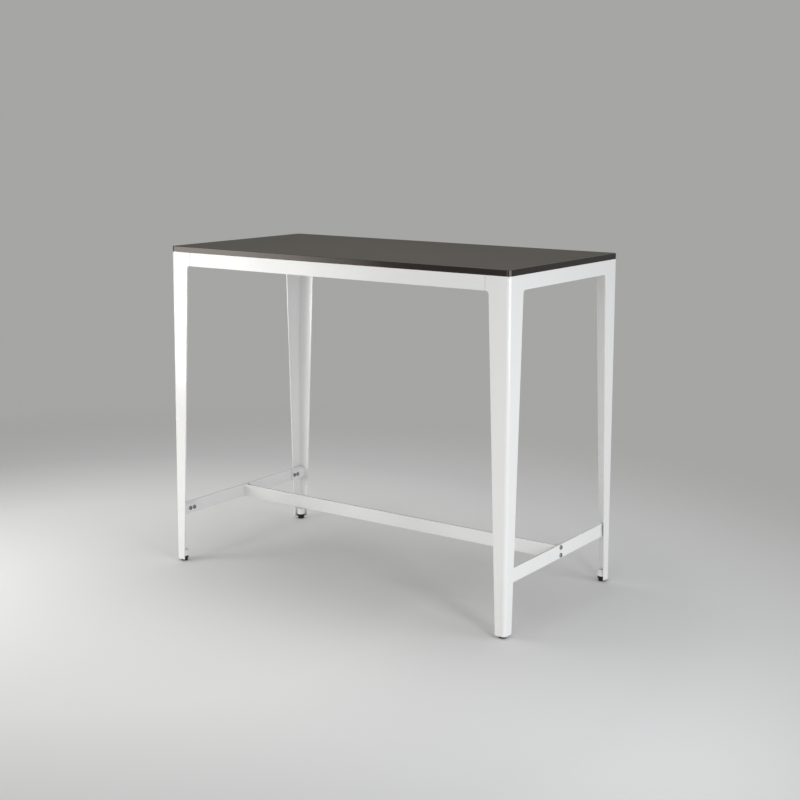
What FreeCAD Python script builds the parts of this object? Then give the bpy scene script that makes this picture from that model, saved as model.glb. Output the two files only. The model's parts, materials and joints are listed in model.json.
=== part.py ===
import FreeCAD, Part
import math
import os

from FreeCAD import Vector

# A tall table on two folded steel end frames.
# Millimetres, +Z up. The origin is on the floor, under the middle of the table.
# +X runs along the table to the right, and -Y is the front.

# Overall sizes
table_length = 1266.0
table_width = 652.0
table_height = 1050.0

# Board and its edge band
board_thickness = 18.0
band_thickness = 2.0
band_arris = 1.0

# Folded sheet of the end frames
sheet = 3.0
bend_inner = 8.0
bend_outer = bend_inner + sheet
apron_depth = 43.0
leg_floor_gap = 8.0

# Widths of a leg's two flanges, at the apron and at the foot
long_side_head_width = 68.0
long_side_foot_width = 33.0
end_side_head_width = 75.0
end_side_foot_width = 36.5
head_fillet = 10.0

# Long aprons: an angle section with a square outer corner
angle_flange = 30.0
angle_root_fillet = 3.0
angle_end_round = 8.0
seam_land = 1.0
seam_gap = 1.2

# Strip that carries the board along each short apron
strip_width = 27.0
strip_end_gap = 2.0

# Joint plates behind the seams between stub and long apron
joint_plate_thickness = 4.0
joint_plate_depth = 32.0
joint_plate_on_stub = 56.0
joint_plate_on_apron = 48.0
joint_plate_round = 5.0
joint_plate_below_flange = 3.0
stud_diameter = 6.0
stud_end_distance = 12.0
stud_pitch = 24.0
stud_past_nut = 2.5
stud_hole = 6.6
stud_nut_width = 10.0
stud_nut_height = 5.0
stud_nut_flange = 13.6

# Metric hardware of size 8, used in the stretcher
bolt_diameter = 8.0
bolt_hole = 8.6
tapped_clearance = 0.1
button_head_diameter = 13.6
button_head_height = 4.2
button_land = 0.8
socket_width = 5.0
socket_depth = 2.6
thread_end_chamfer = 0.8
bolt_nut_width = 13.0
bolt_nut_height = 6.5
bolt_nut_flange = 15.6
nut_flange_height = 1.2

# Wood screws that hold the board
screw_diameter = 4.0
screw_head_diameter = 8.0
screw_head_height = 2.2
screw_head_chamfer = 1.0
screw_length = 16.0
screw_tip_length = 4.0
screw_tip_diameter = 1.0
screw_drive_width = 2.5
screw_hole = 5.0
pilot_clearance = 0.1
apron_screw_shares = (-0.44, -0.15, 0.15, 0.44)
strip_screw_shares = (-0.38, 0.0, 0.38)

# Flat bars of the stretcher
bar_height = 42.0
bar_thickness = 8.0
bar_arris = 0.8
bar_low = 152.0
bar_end_gap = 2.0
bar_to_leg_gap = 6.0
bar_thread_depth = 6.6
leg_tab_thickness = 6.0
leg_tab_height = 32.0
leg_tab_round = 5.0
leg_tab_past_bolt = 11.0
leg_bolt_first = 43.5
leg_bolt_pitch = 18.3
leg_bolt_end_gap = 0.6
long_tab_thickness = 4.0
long_tab_round = 5.0
long_tab_past_bolt = 10.0
long_bolt_reach = 17.0
long_bolt_pitch = 24.0
bolt_past_nut = 2.0

# Levelling feet
boss_diameter = 28.0
boss_height = 20.0
boss_chamfer = 0.6
boss_weld_gap = 0.1
pad_diameter = 22.0
pad_height = 8.2
pad_chamfer = 1.2
pad_top_chamfer = 0.5
pad_floor = 2.6
pad_gap = 0.3
collar_diameter = 27.0
collar_height = 8.0
collar_chamfer = 0.7
collar_fit_gap = 0.02
collar_notch_radius = 1.5
collar_notch_count = 18
stop_gap = 0.3
foot_stud_diameter = 10.0
foot_stud_in_boss = 19.0
foot_stud_chamfer = 1.0
foot_stud_slot_width = 1.6
foot_stud_slot_depth = 2.0
running_clearance = 0.08
pin_diameter = 8.0
pin_gap = 0.3
pin_chamfer = 0.5

# One overrun serves all cuts
overrun = 5.0
# Two points closer than this are one
same_point = 0.000001

# Levels and places worked out from the sizes above
frame_head = table_height - board_thickness
apron_low = frame_head - apron_depth
end_face = table_length / 2
side_face = table_width / 2
seam_offset = long_side_head_width + head_fillet + seam_land
seam_place = end_face - seam_offset
bar_middle = bar_low + bar_height / 2
cross_bar_outer = end_face - sheet - bar_to_leg_gap
cross_bar_inner = cross_bar_outer - bar_thickness
leg_tab_reach = leg_bolt_first + leg_bolt_pitch + leg_tab_past_bolt
long_tab_reach = long_bolt_reach + long_tab_past_bolt
boss_low = pad_height + pad_gap + collar_height + stop_gap
foot_inset = sheet + boss_weld_gap + boss_diameter / 2

os.makedirs("parts", exist_ok=True)


# Drawing helpers

def plan(height):
    """Place of a point drawn from above, as x and y, at one height."""
    return lambda u, v: Vector(u, v, height)


def front_view(depth):
    """Place of a point drawn from the front, as x and z, at one y."""
    return lambda u, v: Vector(u, depth, v)


def end_view(along):
    """Place of a point drawn from the end, as y and z, at one x."""
    return lambda u, v: Vector(along, u, v)


def outline(corners, place):
    """Closed wire through corners of (u, v, radius), each rounded by its own tangent arc."""
    stops = []
    for index, (u, v, radius) in enumerate(corners):
        corner = Vector(u, v, 0)
        before = Vector(*corners[index - 1][:2], 0) - corner
        after = Vector(*corners[(index + 1) % len(corners)][:2], 0) - corner
        if radius == 0:
            stops.append((corner, corner, corner))
            continue
        before.normalize()
        after.normalize()
        half_angle = before.getAngle(after) / 2
        reach = radius / math.tan(half_angle)
        middle_way = (before + after).normalize()
        middle = corner + middle_way * (radius / math.sin(half_angle) - radius)
        stops.append((corner + before * reach, middle, corner + after * reach))
    edges = []
    for index, (start, middle, end) in enumerate(stops):
        following = stops[(index + 1) % len(stops)][0]
        if (end - start).Length > same_point:
            arc_points = [place(point.x, point.y) for point in (start, middle, end)]
            edges.append(Part.Arc(*arc_points).toShape())
        if (following - end).Length > same_point:
            edges.append(Part.makeLine(place(end.x, end.y), place(following.x, following.y)))
    return Part.Wire(edges)


def prism(corners, place, way):
    """Solid made by drawing a rounded outline out along a vector."""
    return Part.Face(outline(corners, place)).extrude(way)


def rectangle(low_u, low_v, high_u, high_v, radius=0.0):
    """Corners of a rectangle, all rounded alike."""
    return [(low_u, low_v, radius), (high_u, low_v, radius),
            (high_u, high_v, radius), (low_u, high_v, radius)]


def turned(profile, centre, axis):
    """Solid turned about an axis from a profile of (radius, height, rounding) corners."""
    wire = outline(profile, front_view(0))
    solid = Part.Face(wire).revolve(Vector(0, 0, 0), Vector(0, 0, 1), 360)
    solid.Placement = FreeCAD.Placement(centre, FreeCAD.Rotation(Vector(0, 0, 1), axis))
    return solid


def hole(diameter, centre, axis, depth):
    """Round cutter that starts one overrun before its centre and runs one past its depth."""
    return Part.makeCylinder(diameter / 2, depth + 2 * overrun, centre - axis * overrun, axis)


def blind_hole(diameter, centre, axis, depth):
    """Round cutter that starts one overrun before its centre and stops at its depth."""
    return Part.makeCylinder(diameter / 2, depth + overrun, centre - axis * overrun, axis)


def hexagon(width, height, centre, axis):
    """Six-sided prism of a given width across its flats, standing on its centre."""
    corner_radius = width / 2 / math.cos(math.pi / 6)
    turns = [index * math.pi / 3 for index in range(6)]
    points = [(corner_radius * math.cos(turn), corner_radius * math.sin(turn), 0) for turn in turns]
    solid = prism(points, plan(0), Vector(0, 0, height))
    solid.Placement = FreeCAD.Placement(centre, FreeCAD.Rotation(Vector(0, 0, 1), axis))
    return solid


def mirrored(shape, side, face):
    """Copy of a shape drawn at the right front, moved to the side and face it belongs to."""
    moved = shape.copy()
    if side == "left":
        moved = moved.mirror(Vector(0, 0, 0), Vector(1, 0, 0))
    if face == "back":
        moved = moved.mirror(Vector(0, 0, 0), Vector(0, 1, 0))
    return moved


def save(name, *solids):
    """Write one node, one solid or a group of separate ones."""
    shape = solids[0] if len(solids) == 1 else Part.makeCompound(list(solids))
    shape.exportStep("parts/" + name + ".step")
    print(name, len(shape.Solids), "solids", round(shape.Volume), "mm3", shape.isValid())


corners_of_table = [(side, face) for face in ("front", "back") for side in ("left", "right")]


# Board

def screw_places():
    """Places in plan of the screws, along the long aprons and the end strips."""
    apron_row = side_face - sheet - (angle_flange - sheet) / 2
    strip_row = end_face - sheet - strip_width / 2
    places = [(share * 2 * seam_place, way * apron_row)
              for way in (-1, 1) for share in apron_screw_shares]
    places += [(way * strip_row, share * 2 * (side_face - bend_outer))
               for way in (-1, 1) for share in strip_screw_shares]
    return places


def board_plan(inset):
    """Outline of the board in plan, set in from its edge, round the frame's folded corners."""
    return rectangle(-(end_face - inset), -(side_face - inset), end_face - inset,
                     side_face - inset, bend_outer - inset)


def tabletop_board():
    """Laminated board with pilot holes for the screws from below."""
    board = prism(board_plan(band_thickness), plan(frame_head), Vector(0, 0, board_thickness))
    pilots = []
    depth = screw_length - sheet
    for x, y in screw_places():
        bore = screw_diameter / 2 + pilot_clearance
        top = frame_head + depth + pilot_clearance
        profile = [(0, frame_head - overrun, 0), (bore, frame_head - overrun, 0),
                   (bore, top - screw_tip_length, 0),
                   (screw_tip_diameter / 2 + pilot_clearance, top, 0), (0, top, 0)]
        pilots.append(turned(profile, Vector(x, y, 0), Vector(0, 0, 1)))
    return board.cut(pilots)


def edge_band():
    """Band glued round the board in one length, its two outer corners eased."""
    outside = prism(board_plan(0), plan(frame_head), Vector(0, 0, board_thickness))
    band_edges = [edge for edge in outside.Edges if edge.BoundBox.ZLength < same_point]
    outside = outside.makeFillet(band_arris, band_edges)
    inside = prism(board_plan(band_thickness), plan(frame_head - overrun),
                   Vector(0, 0, board_thickness + 2 * overrun))
    return outside.cut(inside)


# End frames

def end_frame():
    """Right end frame: one sheet folded at two corners, with its legs cut to a taper."""
    inner_end = end_face - sheet
    inner_side = side_face - sheet
    folded = [(seam_place, -side_face, 0), (end_face, -side_face, bend_outer),
              (end_face, side_face, bend_outer), (seam_place, side_face, 0),
              (seam_place, inner_side, 0), (inner_end, inner_side, bend_inner),
              (inner_end, -inner_side, bend_inner), (seam_place, -inner_side, 0)]
    frame = prism(folded, plan(leg_floor_gap), Vector(0, 0, frame_head - leg_floor_gap))
    below = leg_floor_gap - overrun
    end_foot = side_face - end_side_foot_width
    end_head = side_face - end_side_head_width
    between_legs = [(-end_foot, below, 0), (end_foot, below, 0), (end_foot, leg_floor_gap, 0),
                    (end_head, apron_low, head_fillet), (-end_head, apron_low, head_fillet),
                    (-end_foot, leg_floor_gap, 0)]
    end_cut = prism(between_legs, end_view(inner_end - overrun), Vector(sheet + 2 * overrun, 0, 0))
    long_foot = end_face - long_side_foot_width
    long_head = end_face - long_side_head_width
    past_seam = seam_place - overrun
    under_stub = [(past_seam, below, 0), (long_foot, below, 0), (long_foot, leg_floor_gap, 0),
                  (long_head, apron_low, head_fillet), (past_seam, apron_low, 0)]
    side_cut = prism(under_stub, front_view(-side_face - overrun),
                     Vector(0, table_width + 2 * overrun, 0))
    return frame.cut([end_cut, side_cut])


def end_top_strip():
    """Flat strip inside the right short apron, drilled for the board's screws."""
    reach = side_face - bend_outer - strip_end_gap
    inner = end_face - sheet
    strip = prism(rectangle(inner - strip_width, -reach, inner, reach), plan(frame_head - sheet),
                  Vector(0, 0, sheet))
    return strip.cut(screw_holes(lambda x, y: x > inner - strip_width and abs(y) < reach))


def screw_holes(test):
    """Clearance holes through the top sheet for the screws whose place passes a test."""
    return [hole(screw_hole, Vector(x, y, frame_head - sheet), Vector(0, 0, 1), sheet)
            for x, y in screw_places() if test(x, y)]


# Long aprons and their joints

def long_apron():
    """Front long apron: an angle whose flange carries the board, with its free corners rounded."""
    outer = -side_face
    inner = outer + sheet
    edge = outer + angle_flange
    under = frame_head - sheet
    section = [(outer, apron_low, 0), (inner, apron_low, 0), (inner, under, angle_root_fillet),
               (edge, under, 0), (edge, frame_head, 0), (outer, frame_head, 0)]
    half = seam_place - seam_gap
    angle = prism(section, end_view(-half), Vector(2 * half, 0, 0))
    flange_corners = [corner for corner in angle.Edges
                      if corner.BoundBox.YMin > edge - same_point
                      and abs(corner.BoundBox.ZLength - sheet) < same_point]
    angle = angle.makeFillet(angle_end_round, flange_corners)
    return angle.cut(screw_holes(lambda x, y: y < edge and abs(x) < half))


def joint_stud_places():
    """Places in x of the two studs at the right end of a long apron."""
    first = seam_place - seam_gap - stud_end_distance
    return [first, first - stud_pitch]


joint_level = frame_head - sheet - joint_plate_below_flange - joint_plate_depth / 2


def joint_plate():
    """Plate welded behind the right front stub, reaching past the seam behind the apron."""
    inner = -side_face + sheet
    low = joint_level - joint_plate_depth / 2
    shape = rectangle(seam_place - joint_plate_on_apron, low, seam_place + joint_plate_on_stub,
                      low + joint_plate_depth, joint_plate_round)
    plate = prism(shape, front_view(inner), Vector(0, joint_plate_thickness, 0))
    holes = [hole(stud_hole, Vector(x, inner, joint_level), Vector(0, 1, 0), joint_plate_thickness)
             for x in joint_stud_places()]
    return plate.cut(holes)


def apron_stud(x):
    """Stud welded to the inner face of the front long apron."""
    length = joint_plate_thickness + stud_nut_height + stud_past_nut
    radius = stud_diameter / 2
    profile = [(0, 0, 0), (radius, 0, 0), (radius, length - thread_end_chamfer, 0),
               (radius - thread_end_chamfer, length, 0), (0, length, 0)]
    return turned(profile, Vector(x, -side_face + sheet, joint_level), Vector(0, 1, 0))


def flange_nut(centre, axis, bore, width, height, flange_diameter):
    """Six-sided nut with a round flange, its upper corners eased, on a plain bore."""
    body = hexagon(width, height, centre, axis)
    flat = width / 2
    corner = flat / math.cos(math.pi / 6)
    limit = [(0, 0, 0), (corner, 0, 0), (corner, height - (corner - flat), 0),
             (flat, height, 0), (0, height, 0)]
    body = body.common(turned(limit, centre, axis))
    flange = Part.makeCylinder(flange_diameter / 2, nut_flange_height, centre, axis)
    return body.fuse(flange).removeSplitter().cut(hole(bore, centre, axis, height))


def apron_nut(x):
    """Nut on one of the studs, against the joint plate."""
    seat = Vector(x, -side_face + sheet + joint_plate_thickness, joint_level)
    return flange_nut(seat, Vector(0, 1, 0), stud_diameter + 2 * tapped_clearance,
                      stud_nut_width, stud_nut_height, stud_nut_flange)


def wood_screw(x, y):
    """Pan head screw from below, through the sheet into the board."""
    head_low = -screw_head_height
    head = screw_head_diameter / 2
    shank = screw_diameter / 2
    tip = screw_tip_diameter / 2
    profile = [(0, head_low, 0), (head - screw_head_chamfer, head_low, 0),
               (head, head_low + screw_head_chamfer, 0), (head, 0, 0),
               (shank, 0, 0), (shank, screw_length - screw_tip_length, 0),
               (tip, screw_length, 0), (0, screw_length, 0)]
    screw = turned(profile, Vector(x, y, frame_head - sheet), Vector(0, 0, 1))
    drive = hexagon(screw_drive_width, screw_head_height / 2 + overrun,
                    Vector(x, y, frame_head - sheet + head_low - overrun), Vector(0, 0, 1))
    return screw.cut(drive)


# Stretcher

def leg_bolt_places():
    """Places in y of the two bolts that hold a cross bar to its front leg tab."""
    first = -side_face + leg_bolt_first
    return [first, first + leg_bolt_pitch]


def long_bolt_places():
    """Places in y and z of the two bolts that hold the long bar to a cross bar."""
    y = -bar_thickness / 2 + long_bolt_reach
    return [(y, bar_middle + way * long_bolt_pitch / 2) for way in (-1, 1)]


def leg_tab():
    """Plate that stands on the side flange of the right front leg, behind the cross bar."""
    weld_face = -side_face + sheet
    free_end = -side_face + leg_tab_reach
    low = bar_middle - leg_tab_height / 2
    high = low + leg_tab_height
    inner = cross_bar_inner - leg_tab_thickness
    shape = [(weld_face, low, 0), (free_end, low, leg_tab_round), (free_end, high, leg_tab_round),
             (weld_face, high, 0)]
    tab = prism(shape, end_view(inner), Vector(leg_tab_thickness, 0, 0))
    return tab.cut([hole(bolt_hole, Vector(inner, y, bar_middle), Vector(1, 0, 0), leg_tab_thickness)
                    for y in leg_bolt_places()])


def cross_bar():
    """Flat bar between the right legs: tapped blind for the leg tabs, drilled for the long bar."""
    reach = side_face - sheet - bar_end_gap
    bar = prism(rectangle(cross_bar_inner, bar_low, cross_bar_outer, bar_low + bar_height, bar_arris),
                front_view(-reach), Vector(0, 2 * reach, 0))
    across = Vector(1, 0, 0)
    tapped = bolt_diameter + 2 * tapped_clearance
    cutters = [blind_hole(tapped, Vector(cross_bar_inner, way * y, bar_middle), across, bar_thread_depth)
               for way in (-1, 1) for y in leg_bolt_places()]
    cutters += [hole(bolt_hole, Vector(cross_bar_inner, y, z), across, bar_thickness)
                for y, z in long_bolt_places()]
    return bar.cut(cutters)


def long_bar():
    """Flat bar along the middle, between its two welded end tabs."""
    half = cross_bar_inner - long_tab_thickness
    middle = bar_thickness / 2
    return prism(rectangle(-middle, bar_low, middle, bar_low + bar_height, bar_arris),
                 end_view(-half), Vector(2 * half, 0, 0))


def long_bar_tab():
    """Plate across the right end of the long bar, reaching back to its two bolts."""
    front = -bar_thickness / 2
    back = front + long_tab_reach
    high = bar_low + bar_height
    shape = [(front, bar_low, 0), (back, bar_low, long_tab_round), (back, high, long_tab_round),
             (front, high, 0)]
    inner = cross_bar_inner - long_tab_thickness
    tab = prism(shape, end_view(inner), Vector(long_tab_thickness, 0, 0))
    return tab.cut([hole(bolt_hole, Vector(inner, y, z), Vector(1, 0, 0), long_tab_thickness)
                    for y, z in long_bolt_places()])


def button_bolt(seat, axis, length):
    """Button head bolt seated under its head, with a six-sided socket."""
    head = button_head_diameter / 2
    shank = bolt_diameter / 2
    flat_top = socket_width / 2 + button_land
    dome_low = button_head_height / 4
    wire_points = [front_view(0)(u, v) for u, v in (
        (0, -button_head_height), (flat_top, -button_head_height),
        (head, -dome_low), (head, 0), (shank, 0), (shank, length - thread_end_chamfer),
        (shank - thread_end_chamfer, length), (0, length))]
    bulge_share = 0.72
    bulge = front_view(0)(flat_top + (head - flat_top) * bulge_share,
                          -dome_low - (button_head_height - dome_low) * bulge_share)
    edges = []
    for start, end in zip(wire_points, wire_points[1:] + wire_points[:1]):
        is_dome = start == wire_points[1]
        edges.append(Part.Arc(start, bulge, end).toShape() if is_dome else Part.makeLine(start, end))
    bolt = Part.Face(Part.Wire(edges)).revolve(Vector(0, 0, 0), Vector(0, 0, 1), 360)
    socket = hexagon(socket_width, socket_depth + overrun,
                     Vector(0, 0, -button_head_height - overrun), Vector(0, 0, 1))
    bolt = bolt.cut(socket)
    bolt.Placement = FreeCAD.Placement(seat, FreeCAD.Rotation(Vector(0, 0, 1), axis))
    return bolt


def cross_bar_bolt(y):
    """Bolt from inside the frame, through the right front leg tab into the cross bar."""
    length = leg_tab_thickness + bar_thread_depth - leg_bolt_end_gap
    seat = Vector(cross_bar_inner - leg_tab_thickness, y, bar_middle)
    return button_bolt(seat, Vector(1, 0, 0), length)


def long_bar_bolt(y, z):
    """Bolt from outside, through the right cross bar, the long bar's tab and its nut."""
    length = bar_thickness + long_tab_thickness + bolt_nut_height + bolt_past_nut
    return button_bolt(Vector(cross_bar_outer, y, z), Vector(-1, 0, 0), length)


def long_bar_nut(y, z):
    """Nut behind the right tab of the long bar."""
    seat = Vector(cross_bar_inner - long_tab_thickness, y, z)
    return flange_nut(seat, Vector(-1, 0, 0), bolt_diameter + 2 * tapped_clearance,
                      bolt_nut_width, bolt_nut_height, bolt_nut_flange)


# Levelling feet

foot_x = end_face - foot_inset
foot_y = -side_face + foot_inset
upright = Vector(0, 0, 1)


def foot_boss():
    """Threaded boss welded into the bottom corner of the right front leg."""
    bore = foot_stud_diameter / 2 + running_clearance
    radius = boss_diameter / 2
    shoulder = radius - boss_chamfer
    profile = [(bore, 0, 0), (shoulder, 0, 0), (radius, boss_chamfer, 0),
               (radius, boss_height - boss_chamfer, 0), (shoulder, boss_height, 0),
               (bore, boss_height, 0)]
    return turned(profile, Vector(foot_x, foot_y, boss_low), upright)


def foot_pad():
    """Pad that stands on the floor, with a blind socket for the stud's pin."""
    socket = pin_diameter / 2 + running_clearance
    radius = pad_diameter / 2
    profile = [(0, 0, 0), (radius - pad_chamfer, 0, 0), (radius, pad_chamfer, 0),
               (radius, pad_height - pad_top_chamfer, 0), (radius - pad_top_chamfer, pad_height, 0),
               (socket, pad_height, 0), (socket, pad_floor, 0), (0, pad_floor, 0)]
    return turned(profile, Vector(foot_x, foot_y, 0), upright)


def foot_collar():
    """Collar moulded round the stud, with finger notches round its rim."""
    bore = foot_stud_diameter / 2 + collar_fit_gap
    radius = collar_diameter / 2
    shoulder = radius - collar_chamfer
    profile = [(bore, 0, 0), (shoulder, 0, 0), (radius, collar_chamfer, 0),
               (radius, collar_height - collar_chamfer, 0), (shoulder, collar_height, 0),
               (bore, collar_height, 0)]
    low = pad_height + pad_gap
    collar = turned(profile, Vector(foot_x, foot_y, low), upright)
    notches = []
    reach = radius + collar_notch_radius / 2
    for index in range(collar_notch_count):
        turn = 2 * math.pi * index / collar_notch_count
        centre = Vector(foot_x + reach * math.cos(turn), foot_y + reach * math.sin(turn), low)
        notches.append(hole(2 * collar_notch_radius, centre, upright, collar_height))
    return collar.cut(notches)


def foot_stud():
    """Steel stud: a pin in the pad, the collar's seat, and the thread up into the boss."""
    pin = pin_diameter / 2
    body = foot_stud_diameter / 2
    low = pad_floor + pin_gap
    shoulder = pad_height + pad_gap
    high = boss_low + foot_stud_in_boss
    profile = [(0, low, 0), (pin - pin_chamfer, low, 0), (pin, low + pin_chamfer, 0),
               (pin, shoulder, 0), (body, shoulder, 0), (body, high - foot_stud_chamfer, 0),
               (body - foot_stud_chamfer, high, 0), (0, high, 0)]
    stud = turned(profile, Vector(foot_x, foot_y, 0), upright)
    half_slot = foot_stud_slot_width / 2
    slot = prism(rectangle(foot_x - foot_stud_diameter, foot_y - half_slot,
                           foot_x + foot_stud_diameter, foot_y + half_slot),
                 plan(high - foot_stud_slot_depth), Vector(0, 0, foot_stud_slot_depth + overrun))
    return stud.cut(slot)


# Every node, written at its own side and face

save("tabletop_board", tabletop_board())
save("edge_band", edge_band())
for side in ("left", "right"):
    save("end_frame_" + side, mirrored(end_frame(), side, "front"))
    save("end_top_strip_" + side, mirrored(end_top_strip(), side, "front"))
    save("cross_bar_" + side, mirrored(cross_bar(), side, "front"))
    save("long_bar_tab_" + side, mirrored(long_bar_tab(), side, "front"))
for face in ("front", "back"):
    save("long_apron_" + face, mirrored(long_apron(), "right", face))
save("long_bar", long_bar())

for side, face in corners_of_table:
    place_name = "_" + face + "_" + side
    save("joint_plate" + place_name, mirrored(joint_plate(), side, face))
    save("leg_tab" + place_name, mirrored(leg_tab(), side, face))
    save("foot_boss" + place_name, mirrored(foot_boss(), side, face))
    save("foot_pad" + place_name, mirrored(foot_pad(), side, face))
    save("foot_collar" + place_name, mirrored(foot_collar(), side, face))
    save("foot_stud" + place_name, mirrored(foot_stud(), side, face))

save("apron_studs", *[mirrored(apron_stud(x), side, face)
                      for side, face in corners_of_table for x in joint_stud_places()])
save("apron_nuts", *[mirrored(apron_nut(x), side, face)
                     for side, face in corners_of_table for x in joint_stud_places()])
save("tabletop_screws", *[wood_screw(x, y) for x, y in screw_places()])
save("cross_bar_bolts", *[mirrored(cross_bar_bolt(y), side, face)
                          for side, face in corners_of_table for y in leg_bolt_places()])
save("long_bar_bolts", *[mirrored(long_bar_bolt(y, z), side, "front")
                         for side in ("left", "right") for y, z in long_bolt_places()])
save("long_bar_nuts", *[mirrored(long_bar_nut(y, z), side, "front")
                        for side in ("left", "right") for y, z in long_bolt_places()])
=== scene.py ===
# %% [markdown]
# # Dressing a bar table
#
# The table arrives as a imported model: every sheet, bar, bolt and foot is already at its real size.
# This lesson gives each of them its finish, adds the small things that a drawing leaves out, such
# as weld beads and a real thread, and then lights and photographs the table.
# All lengths are in metres, with Z up, and the origin on the floor under the middle of the table.

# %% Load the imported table
import json
import math

import bpy
from mathutils import Matrix, Vector


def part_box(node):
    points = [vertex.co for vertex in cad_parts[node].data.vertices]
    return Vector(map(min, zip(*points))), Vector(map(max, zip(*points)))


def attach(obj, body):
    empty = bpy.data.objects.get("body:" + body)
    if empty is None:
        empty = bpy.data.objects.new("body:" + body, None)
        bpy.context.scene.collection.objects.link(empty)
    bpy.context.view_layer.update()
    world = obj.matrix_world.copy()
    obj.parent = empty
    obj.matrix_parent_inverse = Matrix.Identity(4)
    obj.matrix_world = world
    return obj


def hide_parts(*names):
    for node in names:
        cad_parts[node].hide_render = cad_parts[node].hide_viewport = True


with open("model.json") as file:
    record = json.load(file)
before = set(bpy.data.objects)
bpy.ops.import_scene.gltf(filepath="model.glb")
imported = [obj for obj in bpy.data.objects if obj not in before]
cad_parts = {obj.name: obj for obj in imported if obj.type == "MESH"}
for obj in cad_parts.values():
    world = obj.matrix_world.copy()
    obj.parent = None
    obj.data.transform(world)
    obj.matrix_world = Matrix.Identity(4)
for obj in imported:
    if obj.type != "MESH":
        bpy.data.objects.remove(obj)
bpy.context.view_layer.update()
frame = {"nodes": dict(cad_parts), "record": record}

# %% [markdown]
# ## A few tools for the bench
#
# Loading leaves every part of the table selected, and an operator works on all that is selected.
# So each new piece starts from an empty selection, and ends with its modifiers applied and its
# place moved from the object into the mesh. A pattern in a material then stays put on the piece.

# %% Bench tools
millimetre = 0.001


def clear_selection():
    """Leave edit mode and deselect everything."""
    if bpy.context.object and bpy.context.object.mode != "OBJECT":
        bpy.ops.object.mode_set(mode="OBJECT")
    bpy.ops.object.select_all(action="DESELECT")


def settle(piece):
    """Apply a piece's modifiers, then put its place, turn and scale into its mesh."""
    clear_selection()
    piece.select_set(True)
    bpy.context.view_layer.objects.active = piece
    for modifier in list(piece.modifiers):
        bpy.ops.object.modifier_apply(modifier=modifier.name)
    bpy.ops.object.transform_apply(location=True, rotation=True, scale=True)


def face_outwards(piece):
    """Close the mesh's doubles and turn its faces outwards."""
    clear_selection()
    piece.select_set(True)
    bpy.context.view_layer.objects.active = piece
    bpy.ops.object.mode_set(mode="EDIT")
    bpy.ops.mesh.select_all(action="SELECT")
    bpy.ops.mesh.remove_doubles(threshold=0.001 * millimetre)
    bpy.ops.mesh.normals_make_consistent(inside=False)
    bpy.ops.object.mode_set(mode="OBJECT")


def copy_at(piece, name, place):
    """Copy a settled piece, with a mesh of its own, to another place."""
    twin = piece.copy()
    twin.data = piece.data.copy()
    twin.name = name
    bpy.context.collection.objects.link(twin)
    twin.matrix_world = Matrix.Translation(place)
    settle(twin)
    return twin


def outward(face, side):
    """Signs of x and y that point away from the table's middle at one of its corners."""
    return (1 if side == "right" else -1), (1 if face == "back" else -1)


corners = [(face, side) for face in ("front", "back") for side in ("left", "right")]
print("corners of the table", corners)

# %% [markdown]
# ## Tools for mixing a finish
#
# Every finish starts as one Principled shader. What makes it look like a real surface is small:
# a bump of a few hundredths of a millimetre, and a colour and a gloss that drift a little from
# place to place. All are noise read in Object coordinates, so their size is true, in metres, on
# every piece.

# %% Finish tools
noise_low = 0.3
noise_high = 0.7


def start_finish(name, colour, roughness, metallic=0.0):
    """Material with one Principled shader, set on its own sockets."""
    finish = bpy.data.materials.new(name)
    finish.use_nodes = True
    shader = finish.node_tree.nodes["Principled BSDF"]
    shader.inputs["Base Color"].default_value = (*colour, 1.0)
    shader.inputs["Roughness"].default_value = roughness
    shader.inputs["Metallic"].default_value = metallic
    coordinates = finish.node_tree.nodes.new("ShaderNodeTexCoord")
    coordinates.name = "place"
    return finish


def set_gloss(finish, level, tint):
    """Set how strongly, and in what tone, a plastic mirrors its surroundings."""
    shader = finish.node_tree.nodes["Principled BSDF"]
    shader.inputs["Specular IOR Level"].default_value = level
    shader.inputs["Specular Tint"].default_value = (*tint, 1.0)


def noise(finish, size, detail=2.0, stretch=(1.0, 1.0, 1.0)):
    """Noise with features about one size across, in metres, stretched along the axes."""
    tree = finish.node_tree
    mapping = tree.nodes.new("ShaderNodeMapping")
    mapping.inputs["Scale"].default_value = stretch
    grain = tree.nodes.new("ShaderNodeTexNoise")
    grain.inputs["Scale"].default_value = 1.0 / size
    grain.inputs["Detail"].default_value = detail
    tree.links.new(tree.nodes["place"].outputs["Object"], mapping.inputs["Vector"])
    tree.links.new(mapping.outputs["Vector"], grain.inputs["Vector"])
    return grain.outputs["Fac"]


def drift_colour(finish, pattern, first, second):
    """Let the base colour drift between two tones along a pattern."""
    tree = finish.node_tree
    ramp = tree.nodes.new("ShaderNodeValToRGB")
    ramp.color_ramp.elements[0].position = noise_low
    ramp.color_ramp.elements[0].color = (*first, 1.0)
    ramp.color_ramp.elements[1].position = noise_high
    ramp.color_ramp.elements[1].color = (*second, 1.0)
    tree.links.new(pattern, ramp.inputs["Fac"])
    tree.links.new(ramp.outputs["Color"], tree.nodes["Principled BSDF"].inputs["Base Color"])


def drift_roughness(finish, pattern, low, high):
    """Let the roughness drift between two values along a pattern."""
    tree = finish.node_tree
    spread = tree.nodes.new("ShaderNodeMapRange")
    spread.inputs["To Min"].default_value = low
    spread.inputs["To Max"].default_value = high
    tree.links.new(pattern, spread.inputs["Value"])
    tree.links.new(spread.outputs["Result"], tree.nodes["Principled BSDF"].inputs["Roughness"])


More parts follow.
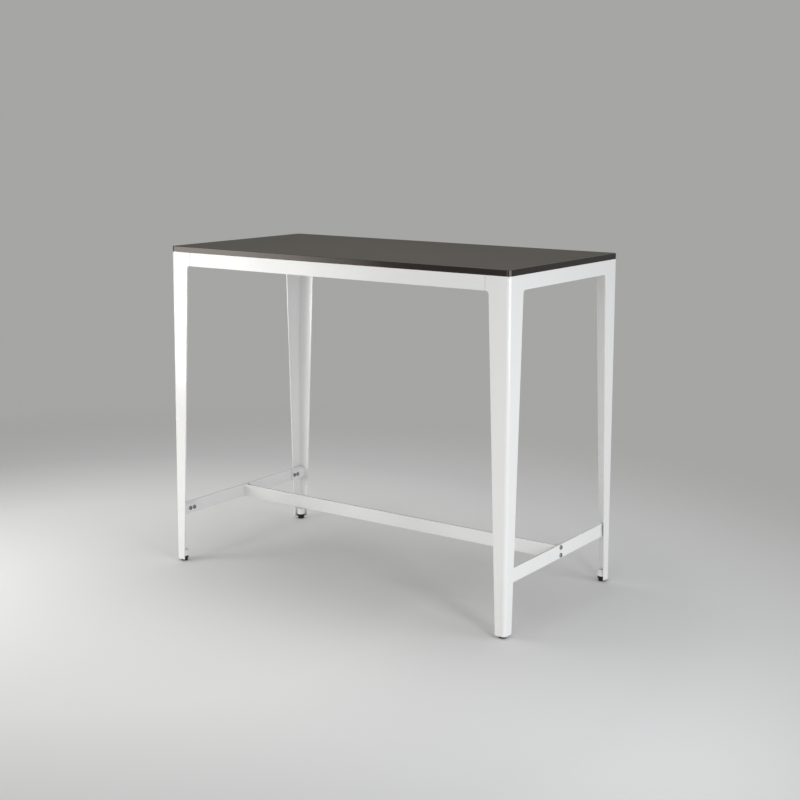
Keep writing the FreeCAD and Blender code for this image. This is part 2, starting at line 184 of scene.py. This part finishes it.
def raise_bump(finish, pattern, height):
    """Let a pattern lift the surface by a height in metres, on top of any bump made before."""
    tree = finish.node_tree
    shader = tree.nodes["Principled BSDF"]
    bump = tree.nodes.new("ShaderNodeBump")
    bump.inputs["Distance"].default_value = height
    if shader.inputs["Normal"].is_linked:
        tree.links.new(shader.inputs["Normal"].links[0].from_socket, bump.inputs["Normal"])
    tree.links.new(pattern, bump.inputs["Height"])
    tree.links.new(bump.outputs["Normal"], shader.inputs["Normal"])


print("finish tools ready")

# %% [markdown]
# ## White powder coat
#
# The steel is sprayed with powder and baked, which leaves a glossy white skin with a faint orange
# peel: soft dimples a millimetre or two apart. From a step away it is plain white that mirrors the
# lamps in broad soft patches, with a bright line down each folded corner. So the roughness is low,
# the bump is shallow, and the white drifts by less than one part in thirty.

# %% White powder coat
powder_white = (0.85, 0.85, 0.84)
powder_shade = (0.825, 0.825, 0.82)
white_coat = start_finish("white_powder_coat", powder_white, roughness=0.16)
drift_colour(white_coat, noise(white_coat, size=0.35), powder_shade, powder_white)
drift_roughness(white_coat, noise(white_coat, size=0.02), low=0.12, high=0.20)
orange_peel = noise(white_coat, size=1.6 * millimetre, detail=1.0)
raise_bump(white_coat, orange_peel, height=0.01 * millimetre)
powder_grain = noise(white_coat, size=0.3 * millimetre, detail=1.0)
raise_bump(white_coat, powder_grain, height=0.003 * millimetre)
print("made", white_coat.name)

# %% [markdown]
# ## Laminate and its edge band
#
# The top is a near-black brown laminate, pressed against a plate with a fine pearl texture, so it
# is matt from above and greys out where it is seen at a low angle. The band round its edge is
# smoother: it was drawn through a die, which leaves faint lines along its length, and it mirrors
# the lamp on the left in a long soft highlight.

# %% Laminate and edge band
laminate_brown = (0.030, 0.024, 0.015)
laminate_grey = (0.036, 0.030, 0.020)
laminate = start_finish("board_laminate", laminate_brown, roughness=0.5)
set_gloss(laminate, level=0.35, tint=(1.0, 0.97, 0.91))
drift_colour(laminate, noise(laminate, size=0.18, detail=4.0), laminate_brown, laminate_grey)
drift_roughness(laminate, noise(laminate, size=0.004, detail=3.0), low=0.44, high=0.54)
pearl_texture = noise(laminate, size=0.9 * millimetre, detail=2.0)
raise_bump(laminate, pearl_texture, height=0.02 * millimetre)

band_brown = (0.011, 0.008, 0.006)
band_black = (0.007, 0.005, 0.004)
edge_finish = start_finish("edge_band", band_brown, roughness=0.16)
set_gloss(edge_finish, level=0.47, tint=(1.0, 0.92, 0.85))
tone_streaks = noise(edge_finish, size=0.03, detail=3.0, stretch=(0.2, 0.2, 6.0))
drift_colour(edge_finish, tone_streaks, band_black, band_brown)
gloss_streaks = noise(edge_finish, size=0.01, detail=2.0, stretch=(0.1, 0.1, 4.0))
drift_roughness(edge_finish, gloss_streaks, low=0.13, high=0.20)
die_lines = noise(edge_finish, size=1.2 * millimetre, detail=1.0, stretch=(0.02, 0.02, 1.0))
raise_bump(edge_finish, die_lines, height=0.01 * millimetre)
print("made", laminate.name, "and", edge_finish.name)

# %% [markdown]
# ## Zinc and black nylon
#
# Bolts, nuts and screws are zinc plated: a cool grey metal, cloudy rather than brushed. The
# levelling feet are moulded in black nylon, with the dull fine grain of a spark-eroded mould.

# %% Zinc and nylon
zinc_bright = (0.34, 0.345, 0.36)
zinc_cloud = (0.22, 0.225, 0.24)
zinc = start_finish("zinc_plated_steel", zinc_bright, roughness=0.34, metallic=1.0)
drift_colour(zinc, noise(zinc, size=3 * millimetre, detail=3.0), zinc_cloud, zinc_bright)
drift_roughness(zinc, noise(zinc, size=1.5 * millimetre), low=0.26, high=0.44)
raise_bump(zinc, noise(zinc, size=0.4 * millimetre), height=0.01 * millimetre)

nylon_black = (0.006, 0.006, 0.006)
nylon_worn = (0.012, 0.012, 0.012)
nylon = start_finish("black_nylon", nylon_black, roughness=0.5)
set_gloss(nylon, level=0.3, tint=(1.0, 1.0, 1.0))
drift_colour(nylon, noise(nylon, size=4 * millimetre, detail=3.0), nylon_black, nylon_worn)
drift_roughness(nylon, noise(nylon, size=2 * millimetre), low=0.42, high=0.6)
raise_bump(nylon, noise(nylon, size=0.35 * millimetre), height=0.02 * millimetre)
print("made", zinc.name, "and", nylon.name)

# %% [markdown]
# ## Small threads as a bump
#
# The bolts and weld studs show a few millimetres of thread past their nuts. Ridges a millimetre
# apart are too fine to model on every one, so a wave runs along the bolt's axis instead, and a
# mask keeps it off the heads, which lie further out than the threads do.

# %% Thread bump
bolt_pitch = 1.25 * millimetre
weld_stud_pitch = 1.0 * millimetre
ridge_height = 0.3 * millimetre


def thread_finish(name, axis, pitch, reach):
    """Zinc with ridges across one axis, up to a distance from the middle of the table."""
    finish = zinc.copy()
    finish.name = name
    tree = finish.node_tree
    split = tree.nodes.new("ShaderNodeSeparateXYZ")
    tree.links.new(tree.nodes["place"].outputs["Object"], split.inputs["Vector"])
    turns = tree.nodes.new("ShaderNodeMath")
    turns.operation = "MULTIPLY"
    turns.inputs[1].default_value = 2 * math.pi / pitch
    wave = tree.nodes.new("ShaderNodeMath")
    wave.operation = "SINE"
    distance = tree.nodes.new("ShaderNodeMath")
    distance.operation = "ABSOLUTE"
    inside = tree.nodes.new("ShaderNodeMath")
    inside.operation = "LESS_THAN"
    inside.inputs[1].default_value = reach
    masked = tree.nodes.new("ShaderNodeMath")
    masked.operation = "MULTIPLY"
    tree.links.new(split.outputs[axis], turns.inputs[0])
    tree.links.new(turns.outputs["Value"], wave.inputs[0])
    tree.links.new(split.outputs[axis], distance.inputs[0])
    tree.links.new(distance.outputs["Value"], inside.inputs[0])
    tree.links.new(wave.outputs["Value"], masked.inputs[0])
    tree.links.new(inside.outputs["Value"], masked.inputs[1])
    raise_bump(finish, masked.outputs["Value"], ridge_height)
    return finish


cross_bar_low, cross_bar_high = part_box("cross_bar_right")
apron_low, apron_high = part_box("long_apron_back")
long_bolt_finish = thread_finish("zinc_long_bolt", "X", bolt_pitch, cross_bar_low.x)
stud_finish = thread_finish("zinc_weld_stud", "Y", weld_stud_pitch, apron_high.y)
print("threads stop at", round(cross_bar_low.x, 4), "and", round(apron_high.y, 4))

# %% [markdown]
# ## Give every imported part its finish
#
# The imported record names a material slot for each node, so one table of finishes dresses the lot.
# Only the finish changes: the meshes stay as they are.

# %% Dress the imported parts
finish_of_slot = {
    "board_laminate": laminate,
    "edge_band": edge_finish,
    "white_powder_coat": white_coat,
    "zinc_plated_steel": zinc,
    "black_plastic": nylon,
}
finish_of_node = {"long_bar_bolts": long_bolt_finish, "apron_studs": stud_finish}
for subpart in frame["record"]["subparts"]:
    node_name = subpart["node"]
    node = frame["nodes"][node_name]
    chosen = finish_of_node.get(node_name, finish_of_slot[subpart["material_slot"]])
    node.data.materials.clear()
    node.data.materials.append(chosen)

# %% [markdown]
# ## The levelling feet's thread
#
# Turning a foot out shows its M10 thread, so this one is real geometry. A V-shaped profile, three
# points, is drawn beside the axis and the Screw modifier winds it round, one pitch for each turn.
# The core is a cylinder: its lower end is pulled down into the pin that stands in the pad, and a
# slot is cut across its top for a screwdriver. The stud is modelled once, at the origin, and
# copied to the four feet.

# %% Wind the thread
stud_pitch = 1.5 * millimetre
stud_box_low, stud_box_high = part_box("foot_stud_front_left")
collar_low, collar_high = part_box("foot_collar_front_left")
stud_radius = (stud_box_high.x - stud_box_low.x) / 2
crest_clearance = 0.03 * millimetre
crest_radius = stud_radius - crest_clearance
thread_depth_share = 0.55
root_radius = stud_radius - thread_depth_share * stud_pitch
root_bite = 0.1 * millimetre
crest_height_share = 0.46
ridge_width_share = 0.92
collar_gap = 0.2 * millimetre
thread_start = collar_high.z + collar_gap
thread_turns = int((stud_box_high.z - thread_start - stud_pitch) / stud_pitch)
steps_per_turn = 32

clear_selection()
bpy.ops.mesh.primitive_circle_add(vertices=3, radius=stud_pitch / 2,
                                  rotation=(math.pi / 2, 0, 0))
thread = bpy.context.object
thread.name = "stud_thread"
bpy.ops.object.transform_apply(location=True, rotation=True, scale=True)
v_points = [(root_radius - root_bite, 0), (crest_radius, stud_pitch * crest_height_share),
            (root_radius - root_bite, stud_pitch * ridge_width_share)]
for vertex, (reach, height) in zip(thread.data.vertices, v_points):
    vertex.co = (reach, 0, thread_start + height)
winding = thread.modifiers.new("winding", "SCREW")
winding.axis = "Z"
winding.screw_offset = stud_pitch
winding.iterations = thread_turns
winding.steps = steps_per_turn
winding.render_steps = steps_per_turn
winding.use_merge_vertices = False
settle(thread)
bpy.ops.object.mode_set(mode="EDIT")
bpy.ops.mesh.select_all(action="SELECT")
bpy.ops.mesh.fill_holes(sides=3)
bpy.ops.object.mode_set(mode="OBJECT")
face_outwards(thread)
print("thread turns", thread_turns, "faces", len(thread.data.polygons))

# %% Turn the stud's core
shoulder_width = 1.0 * millimetre
pin_radius = stud_radius - shoulder_width
pin_chamfer = 0.5 * millimetre
pin_end_share = 0.88
shoulder = collar_low.z
top_bevel = 0.4 * millimetre
cap_tolerance = 0.05 * millimetre
flat_enough = 0.9
clear_selection()
bpy.ops.mesh.primitive_cylinder_add(vertices=48, radius=root_radius,
                                    depth=stud_box_high.z - thread_start,
                                    location=(0, 0, (stud_box_high.z + thread_start) / 2))
core = bpy.context.object
core.name = "stud_core"
settle(core)
bpy.ops.object.mode_set(mode="EDIT")
bpy.ops.mesh.select_mode(type="FACE")


def pick_cap(piece, height):
    """Select only the flat faces at one height."""
    bpy.ops.mesh.select_all(action="DESELECT")
    bpy.ops.object.mode_set(mode="OBJECT")
    for polygon in piece.data.polygons:
        polygon.select = (abs(polygon.center.z - height) < cap_tolerance
                          and abs(polygon.normal.z) > flat_enough)
    bpy.ops.object.mode_set(mode="EDIT")


def grow_cap(radius_share, drop):
    """Extrude the chosen cap, then widen or narrow it by a share and move it down."""
    bpy.ops.mesh.extrude_region_move(TRANSFORM_OT_translate={"value": (0, 0, -drop)})
    bpy.ops.transform.resize(value=(radius_share, radius_share, 1))


pick_cap(core, thread_start)
grow_cap(stud_radius / root_radius, drop=0.0)
grow_cap(1.0, drop=thread_start - shoulder)
grow_cap(pin_radius / stud_radius, drop=0.0)
grow_cap(1.0, drop=shoulder - stud_box_low.z - pin_chamfer)
grow_cap(pin_end_share, drop=pin_chamfer)
pick_cap(core, stud_box_high.z)
bpy.ops.mesh.bevel(offset=top_bevel, segments=2)
bpy.ops.object.mode_set(mode="OBJECT")

# %% Cut the screwdriver's slot and join thread and core
slot_width = 1.6 * millimetre
slot_depth = 2 * millimetre
smooth_below = math.radians(35)
clear_selection()
bpy.ops.mesh.primitive_cube_add(size=1.0, location=(0, 0, stud_box_high.z))
slot_cutter = bpy.context.object
slot_cutter.scale = (4 * stud_radius, slot_width, 2 * slot_depth)
settle(slot_cutter)
for piece in (core, thread):
    slotting = piece.modifiers.new("slot", "BOOLEAN")
    slotting.object = slot_cutter
    slotting.solver = "EXACT"
    settle(piece)
bpy.data.objects.remove(slot_cutter, do_unlink=True)

clear_selection()
thread.select_set(True)
core.select_set(True)
bpy.context.view_layer.objects.active = core
bpy.ops.object.join()
bpy.ops.object.shade_smooth_by_angle(angle=smooth_below)
core.data.materials.clear()
core.data.materials.append(zinc)
print("stud faces", len(core.data.polygons))

# %% Set a stud in each foot
for face, side in corners:
    tail = "_" + face + "_" + side
    low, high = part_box("foot_stud" + tail)
    centre = (low + high) / 2
    stud = copy_at(core, "threaded_stud" + tail, Vector((centre.x, centre.y, 0)))
    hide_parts("foot_stud" + tail)
    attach(stud, "screw" + tail)
bpy.data.objects.remove(core, do_unlink=True)
print("studs set", len(corners))

# %% [markdown]
# ## Weld beads
#
# The tabs, bosses, strips and joint plates are welded to the folded sheet before it is coated. A
# bead is a row of overlapping ripples, each one a frozen pool, so one flattened and tilted ball is
# repeated along the seam by an Array modifier. Half of every ball is buried in the steel.

# %% Make one ripple and repeat it
ripple_pitch = 1.3 * millimetre
ripple_radius = 1.9 * millimetre
ripple_flatness = 0.55
ripple_tilt = math.radians(28)


def weld_bead(name, start, end):
    """White-coated bead from one point to another, riding on the frame."""
    start, end = Vector(start), Vector(end)
    way = end - start
    count = max(2, round(way.length / ripple_pitch))
    clear_selection()
    bpy.ops.mesh.primitive_uv_sphere_add(segments=12, ring_count=8, radius=ripple_radius)
    bead = bpy.context.object
    bead.name = name
    bpy.ops.object.mode_set(mode="EDIT")
    bpy.ops.mesh.select_all(action="SELECT")
    bpy.ops.transform.resize(value=(1, 1, ripple_flatness))
    bpy.ops.transform.rotate(value=ripple_tilt, orient_axis="X", center_override=(0, 0, 0))
    bpy.ops.object.mode_set(mode="OBJECT")
    row = bead.modifiers.new("row", "ARRAY")
    row.use_relative_offset = False
    row.use_constant_offset = True
    row.constant_offset_displace = (0, 0, way.length / count)
    row.count = count + 1
    bead.matrix_world = Matrix.Translation(start) @ way.to_track_quat("Z", "Y").to_matrix().to_4x4()
    settle(bead)
    bpy.ops.object.shade_smooth()
    bead.data.materials.append(white_coat)
    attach(bead, "frame")
    return bead


print("ripple pitch", ripple_pitch)

# %% Weld the tabs and bosses into each leg
bead_inset = 3 * millimetre
sheet = 3 * millimetre
leg_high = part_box("end_frame_right")[1]
beads = []
for face, side in corners:
    tail = "_" + face + "_" + side
    across, back = outward(face, side)
    inner_x = across * (leg_high.x - sheet)
    inner_y = back * (leg_high.y - sheet)
    low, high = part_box("leg_tab" + tail)
    tab_x = across * min(abs(low.x), abs(high.x))
    bar_x = across * (max(abs(low.x), abs(high.x)) - bead_inset / 2)
    beads.append(weld_bead("weld_tab_side" + tail, (tab_x, inner_y, low.z + bead_inset),
                           (tab_x, inner_y, high.z - bead_inset)))
    for word, level in (("top", high.z), ("under", low.z)):
        beads.append(weld_bead("weld_tab_" + word + tail, (tab_x, inner_y, level),
                               (bar_x, inner_y, level)))
    low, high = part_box("foot_boss" + tail)
    centre = (low + high) / 2
    lowest, highest = low.z + bead_inset / 2, high.z - bead_inset / 2
    beads.append(weld_bead("weld_boss_end" + tail, (inner_x, centre.y, lowest),
                           (inner_x, centre.y, highest)))
    beads.append(weld_bead("weld_boss_side" + tail, (centre.x, inner_y, lowest),
                           (centre.x, inner_y, highest)))
print("beads so far", len(beads))

# %% Weld the long bar's tabs, the strips and the joint plates
stitch_length = 35 * millimetre
stitch_spread = 190 * millimetre
plate_bead_inset = 6 * millimetre
plate_bead_length = 40 * millimetre
bar_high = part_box("long_bar")[1]
for side, across in (("left", -1), ("right", 1)):
    low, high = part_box("long_bar_tab_" + side)
    seam_x = across * min(abs(low.x), abs(high.x))
    beads.append(weld_bead("weld_bar_" + side, (seam_x, bar_high.y, low.z + bead_inset),
                           (seam_x, bar_high.y, high.z - bead_inset)))
    low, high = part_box("end_top_strip_" + side)
    inner_x = across * max(abs(low.x), abs(high.x))
    for place_name, middle in (("front", -stitch_spread), ("middle", 0.0),
                               ("back", stitch_spread)):
        beads.append(weld_bead("weld_strip_" + side + "_" + place_name,
                               (inner_x, middle - stitch_length / 2, low.z),
                               (inner_x, middle + stitch_length / 2, low.z)))
for face, side in corners:
    tail = "_" + face + "_" + side
    across, back = outward(face, side)
    low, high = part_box("joint_plate" + tail)
    inner_y = back * (leg_high.y - sheet)
    farthest = max(abs(low.x), abs(high.x)) - plate_bead_inset
    beads.append(weld_bead("weld_plate" + tail, (across * farthest, inner_y, low.z),
                           (across * (farthest - plate_bead_length), inner_y, low.z)))
print("beads in all", len(beads))

# %% [markdown]
# ## Floor and background
#
# The table stands on a pale floor that runs out into a plain background with no horizon. The floor
# is a wide disc whose colour is painted light: whiter near the lamp on the left and greyer with
# distance, a painted pool of light and its falloff. Further out it fades away, and past it shows the
# world's own colour, which only the camera, mirror-like reflections and clear materials see. Matt
# surfaces are lit by the lamps, and by a weaker and even fill light from the world.

# %% Lay the floor
floor_radius = 6.0
clear_selection()
bpy.ops.mesh.primitive_circle_add(vertices=96, radius=floor_radius, fill_type="NGON")
floor = bpy.context.object
floor.name = "studio_floor"
# The floor's colour is painted light: whiter near the lamp on the left and greyer away from it, a
# painted pool of light.
floor_painted_pool_white = (0.86, 0.86, 0.85)
floor_painted_falloff_grey = (0.68, 0.68, 0.68)
painted_pool_centre = (-0.6, -0.6, 0.0)
floor_finish = start_finish("studio_floor", floor_painted_pool_white, roughness=0.75)
floor_tree = floor_finish.node_tree
reach = floor_tree.nodes.new("ShaderNodeVectorMath")
reach.operation = "DISTANCE"
reach.inputs[1].default_value = painted_pool_centre
floor_tree.links.new(floor_tree.nodes["place"].outputs["Object"], reach.inputs[0])


def by_reach(nearest, farthest, interpolation):
    """Share that grows from 0 to 1 between two distances from the centre of the floor's painted pool
    of light.
    """
    share = floor_tree.nodes.new("ShaderNodeMapRange")
    share.interpolation_type = interpolation
    share.inputs["From Min"].default_value = nearest
    share.inputs["From Max"].default_value = farthest
    floor_tree.links.new(reach.outputs["Value"], share.inputs["Value"])
    return share


# Painted falloff of the left lamp's light: the floor's colour greys with distance from the painted
# pool's centre.
painted_light_falloff = by_reach(nearest=0.4, farthest=2.3, interpolation="LINEAR")
drift_colour(floor_finish, painted_light_falloff.outputs["Result"], floor_painted_pool_white, floor_painted_falloff_grey)
fade = by_reach(nearest=1.6, farthest=3.0, interpolation="SMOOTHSTEP")
fade.inputs["To Min"].default_value = 1.0
fade.inputs["To Max"].default_value = 0.0
floor_tree.links.new(fade.outputs["Result"], floor_tree.nodes["Principled BSDF"].inputs["Alpha"])
floor_grain = noise(floor_finish, size=4 * millimetre, detail=3.0)
raise_bump(floor_finish, floor_grain, height=0.05 * millimetre)
floor.data.materials.append(floor_finish)
print("floor radius", floor_radius)

# %% Set the background
background_grey = (0.38, 0.38, 0.37)
fill_tint = (1.0, 1.0, 1.0)
fill_strength = 0.30
world = bpy.data.worlds.new("studio")
bpy.context.scene.world = world
world.use_nodes = True
sky = world.node_tree
seen = sky.nodes["Background"]
seen.inputs["Color"].default_value = (*background_grey, 1.0)
seen.inputs["Strength"].default_value = 1.0
lighting = sky.nodes.new("ShaderNodeBackground")
lighting.inputs["Color"].default_value = (*fill_tint, 1.0)
lighting.inputs["Strength"].default_value = fill_strength
ray = sky.nodes.new("ShaderNodeLightPath")
mirrored = sky.nodes.new("ShaderNodeMath")
mirrored.operation = "MAXIMUM"
sky.links.new(ray.outputs["Is Glossy Ray"], mirrored.inputs[0])
sky.links.new(ray.outputs["Is Transmission Ray"], mirrored.inputs[1])
shown = sky.nodes.new("ShaderNodeMath")
shown.operation = "MAXIMUM"
sky.links.new(ray.outputs["Is Camera Ray"], shown.inputs[0])
sky.links.new(mirrored.outputs["Value"], shown.inputs[1])
choice = sky.nodes.new("ShaderNodeMixShader")
sky.links.new(shown.outputs["Value"], choice.inputs["Fac"])
sky.links.new(lighting.outputs["Background"], choice.inputs[1])
sky.links.new(seen.outputs["Background"], choice.inputs[2])
sky.links.new(choice.outputs["Shader"], sky.nodes["World Output"].inputs["Surface"])
print("background", background_grey, "fill", fill_strength)

# %% [markdown]
# ## Lamps
#
# One soft lamp stands low on the left, in front of the table. It whitens the left leg and apron,
# and draws the long highlight on the edge band. It is hung as three panels side by side, dimmer
# towards the right, so its mirror image ends softly, and a wide dim one stands behind it, nearer to
# the floor, for the bars and the feet. A small lamp lights the right end, and wide weak ones fill
# in from the right, the front and above. No camera sees a lamp.

# %% Hang the lamps


def soft_lamp(name, place, target, width, height, power, colour):
    """Area lamp of a width and height that points at a target."""
    lamp_data = bpy.data.lights.new(name, "AREA")
    lamp_data.shape = "RECTANGLE"
    lamp_data.size = width
    lamp_data.size_y = height
    lamp_data.energy = power
    lamp_data.color = colour
    lamp = bpy.data.objects.new(name, lamp_data)
    lamp.visible_camera = False
    bpy.context.collection.objects.link(lamp)
    lamp.location = place
    lamp.rotation_euler = (Vector(target) - Vector(place)).to_track_quat("-Z", "Y").to_euler()


warm_white, cool_white, cooler_white = (1.0, 0.985, 0.96), (0.97, 0.98, 1.0), (0.94, 0.97, 1.0)
key_place = Vector((-1.52, -1.51, 0.70))
key_aim = Vector((1.02, 1.51, 0.0))
key_side = key_aim.cross(Vector((0, 0, 1))).normalized()
key_height = 0.62
key_radiance = 5.7
# Left edge, right edge and share of the radiance of each panel
key_panels = ((-0.45, 0.15, 1.0), (0.15, 0.40, 0.66), (0.40, 0.65, 0.33))
for number, (left_edge, right_edge, share) in enumerate(key_panels):
    across = right_edge - left_edge
    middle = key_place + key_side * (left_edge + right_edge) / 2
    soft_lamp("lamp_left_" + str(number), middle, middle + key_aim, across, key_height,
              key_radiance * share * math.pi * across * key_height, warm_white)
soft_lamp("lamp_low_left", place=(-2.73, -2.52, 0.26), target=(-0.60, -0.30, 0.26),
          width=1.5, height=0.44, power=12.0, colour=warm_white)
soft_lamp("lamp_right", place=(2.10, -1.10, 0.80), target=(0.2, 0.0, 0.55),
          width=0.40, height=0.55, power=9.0, colour=cool_white)
soft_lamp("fill_right", place=(3.3, 0.2, 0.75), target=(0.4, 0.0, 0.5),
          width=1.8, height=1.2, power=31, colour=cooler_white)
soft_lamp("fill_front", place=(0.2, -4.8, 1.3), target=(0.0, 0.0, 0.45),
          width=4.0, height=2.4, power=44, colour=(1.0, 1.0, 0.98))
soft_lamp("lamp_above", place=(-0.2, 0.2, 3.4), target=(0.0, 0.0, 0.4),
          width=2.2, height=2.2, power=43, colour=(1.0, 1.0, 1.0))
print("lamps hung")

# %% [markdown]
# ## The camera
#
# The camera's place was worked out from the table's own corners: their real places and where they
# lie in the picture leave one position, turn and lens. The back of that camera was lowered against
# its lens, which keeps the legs upright, and a small share of that shift is kept here.

# %% Set the camera
frame_pixels = 800
focal_pixels = 1403.4
shift_pixels = 80.0
camera_place = Vector((2.5591, -3.6130, 1.4455))
camera_yaw = math.radians(34.872)
camera_pitch = math.radians(-7.986)
camera_roll = math.radians(0.225)
camera_data = bpy.data.cameras.new("camera")
camera_data.sensor_width = 36.0
camera_data.lens = focal_pixels / frame_pixels * camera_data.sensor_width
camera_data.shift_y = -shift_pixels / frame_pixels
camera_data.dof.use_dof = False
camera = bpy.data.objects.new("camera", camera_data)
bpy.context.collection.objects.link(camera)
turn = (Matrix.Rotation(camera_yaw, 4, "Z") @ Matrix.Rotation(math.pi / 2 + camera_pitch, 4, "X")
        @ Matrix.Rotation(camera_roll, 4, "Z"))
camera.matrix_world = Matrix.Translation(camera_place) @ turn
bpy.context.scene.camera = camera
bpy.context.scene.view_settings.view_transform = "Standard"
print("lens", round(camera_data.lens, 2), "mm")

# %% [markdown]
# ## Finish
#
# Last, the view layer is brought up to date.

# %% Bring the scene up to date
bpy.context.view_layer.update()
